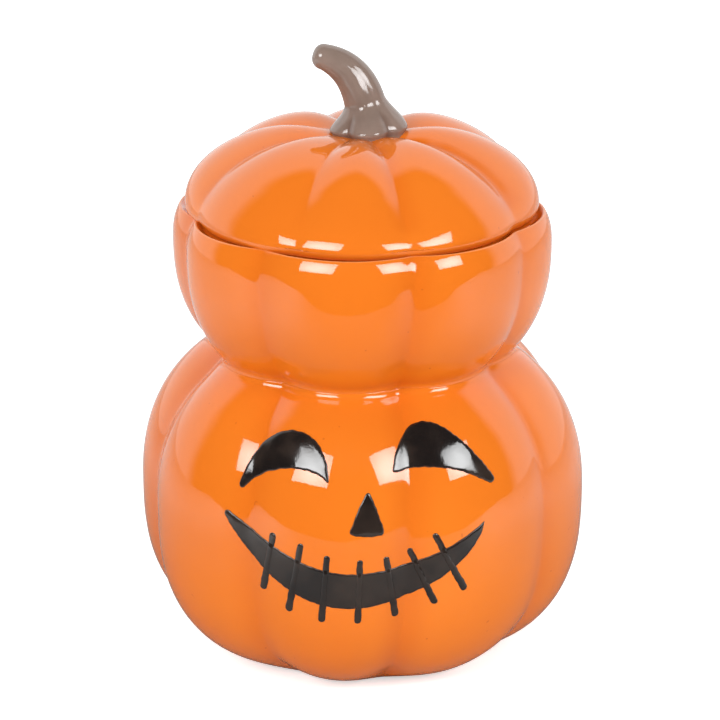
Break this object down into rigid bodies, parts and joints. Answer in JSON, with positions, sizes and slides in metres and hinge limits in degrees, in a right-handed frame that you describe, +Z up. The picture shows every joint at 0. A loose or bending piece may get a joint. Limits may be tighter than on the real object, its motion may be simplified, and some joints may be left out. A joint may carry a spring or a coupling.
{
  "type": "two-tier ceramic pumpkin jar",
  "caption": "Stacked two-tier pumpkin jar in glazed ceramic with a lift-off lobed lid, a curved stem handle and a stitched grin in raised black enamel.",
  "frame": {"origin": "centre of the flat foot, on the surface the jar stands on", "axes": "+Z up through the stem, -Y towards the front with the painted face, +X to the right seen from the front"},
  "size_m": [0.1585, 0.1604, 0.22],
  "materials": {
    "orange_glaze": "high-gloss transparent orange glaze",
    "stem_glaze": "high-gloss taupe glaze",
    "black_enamel": "glossy brown-black overglaze enamel"
  },
  "bodies": {
    "jar": {"lower_pumpkin": "orange_glaze", "upper_bowl": "orange_glaze", "left_eye": "black_enamel", "right_eye": "black_enamel", "nose": "black_enamel", "mouth": "black_enamel", "stitch_1": "black_enamel", "stitch_2": "black_enamel", "stitch_3": "black_enamel", "stitch_4": "black_enamel", "stitch_5": "black_enamel", "stitch_6": "black_enamel", "stitch_7": "black_enamel"},
    "lid_and_stem": {"lid": "orange_glaze", "stem": "stem_glaze"}
  },
  "joints": [
    {"name": "lid_lift", "type": "slide", "parent": "jar", "child": "lid_and_stem", "axis": [0, 0, 1], "range_m": [0, 0.15]}
  ]
}
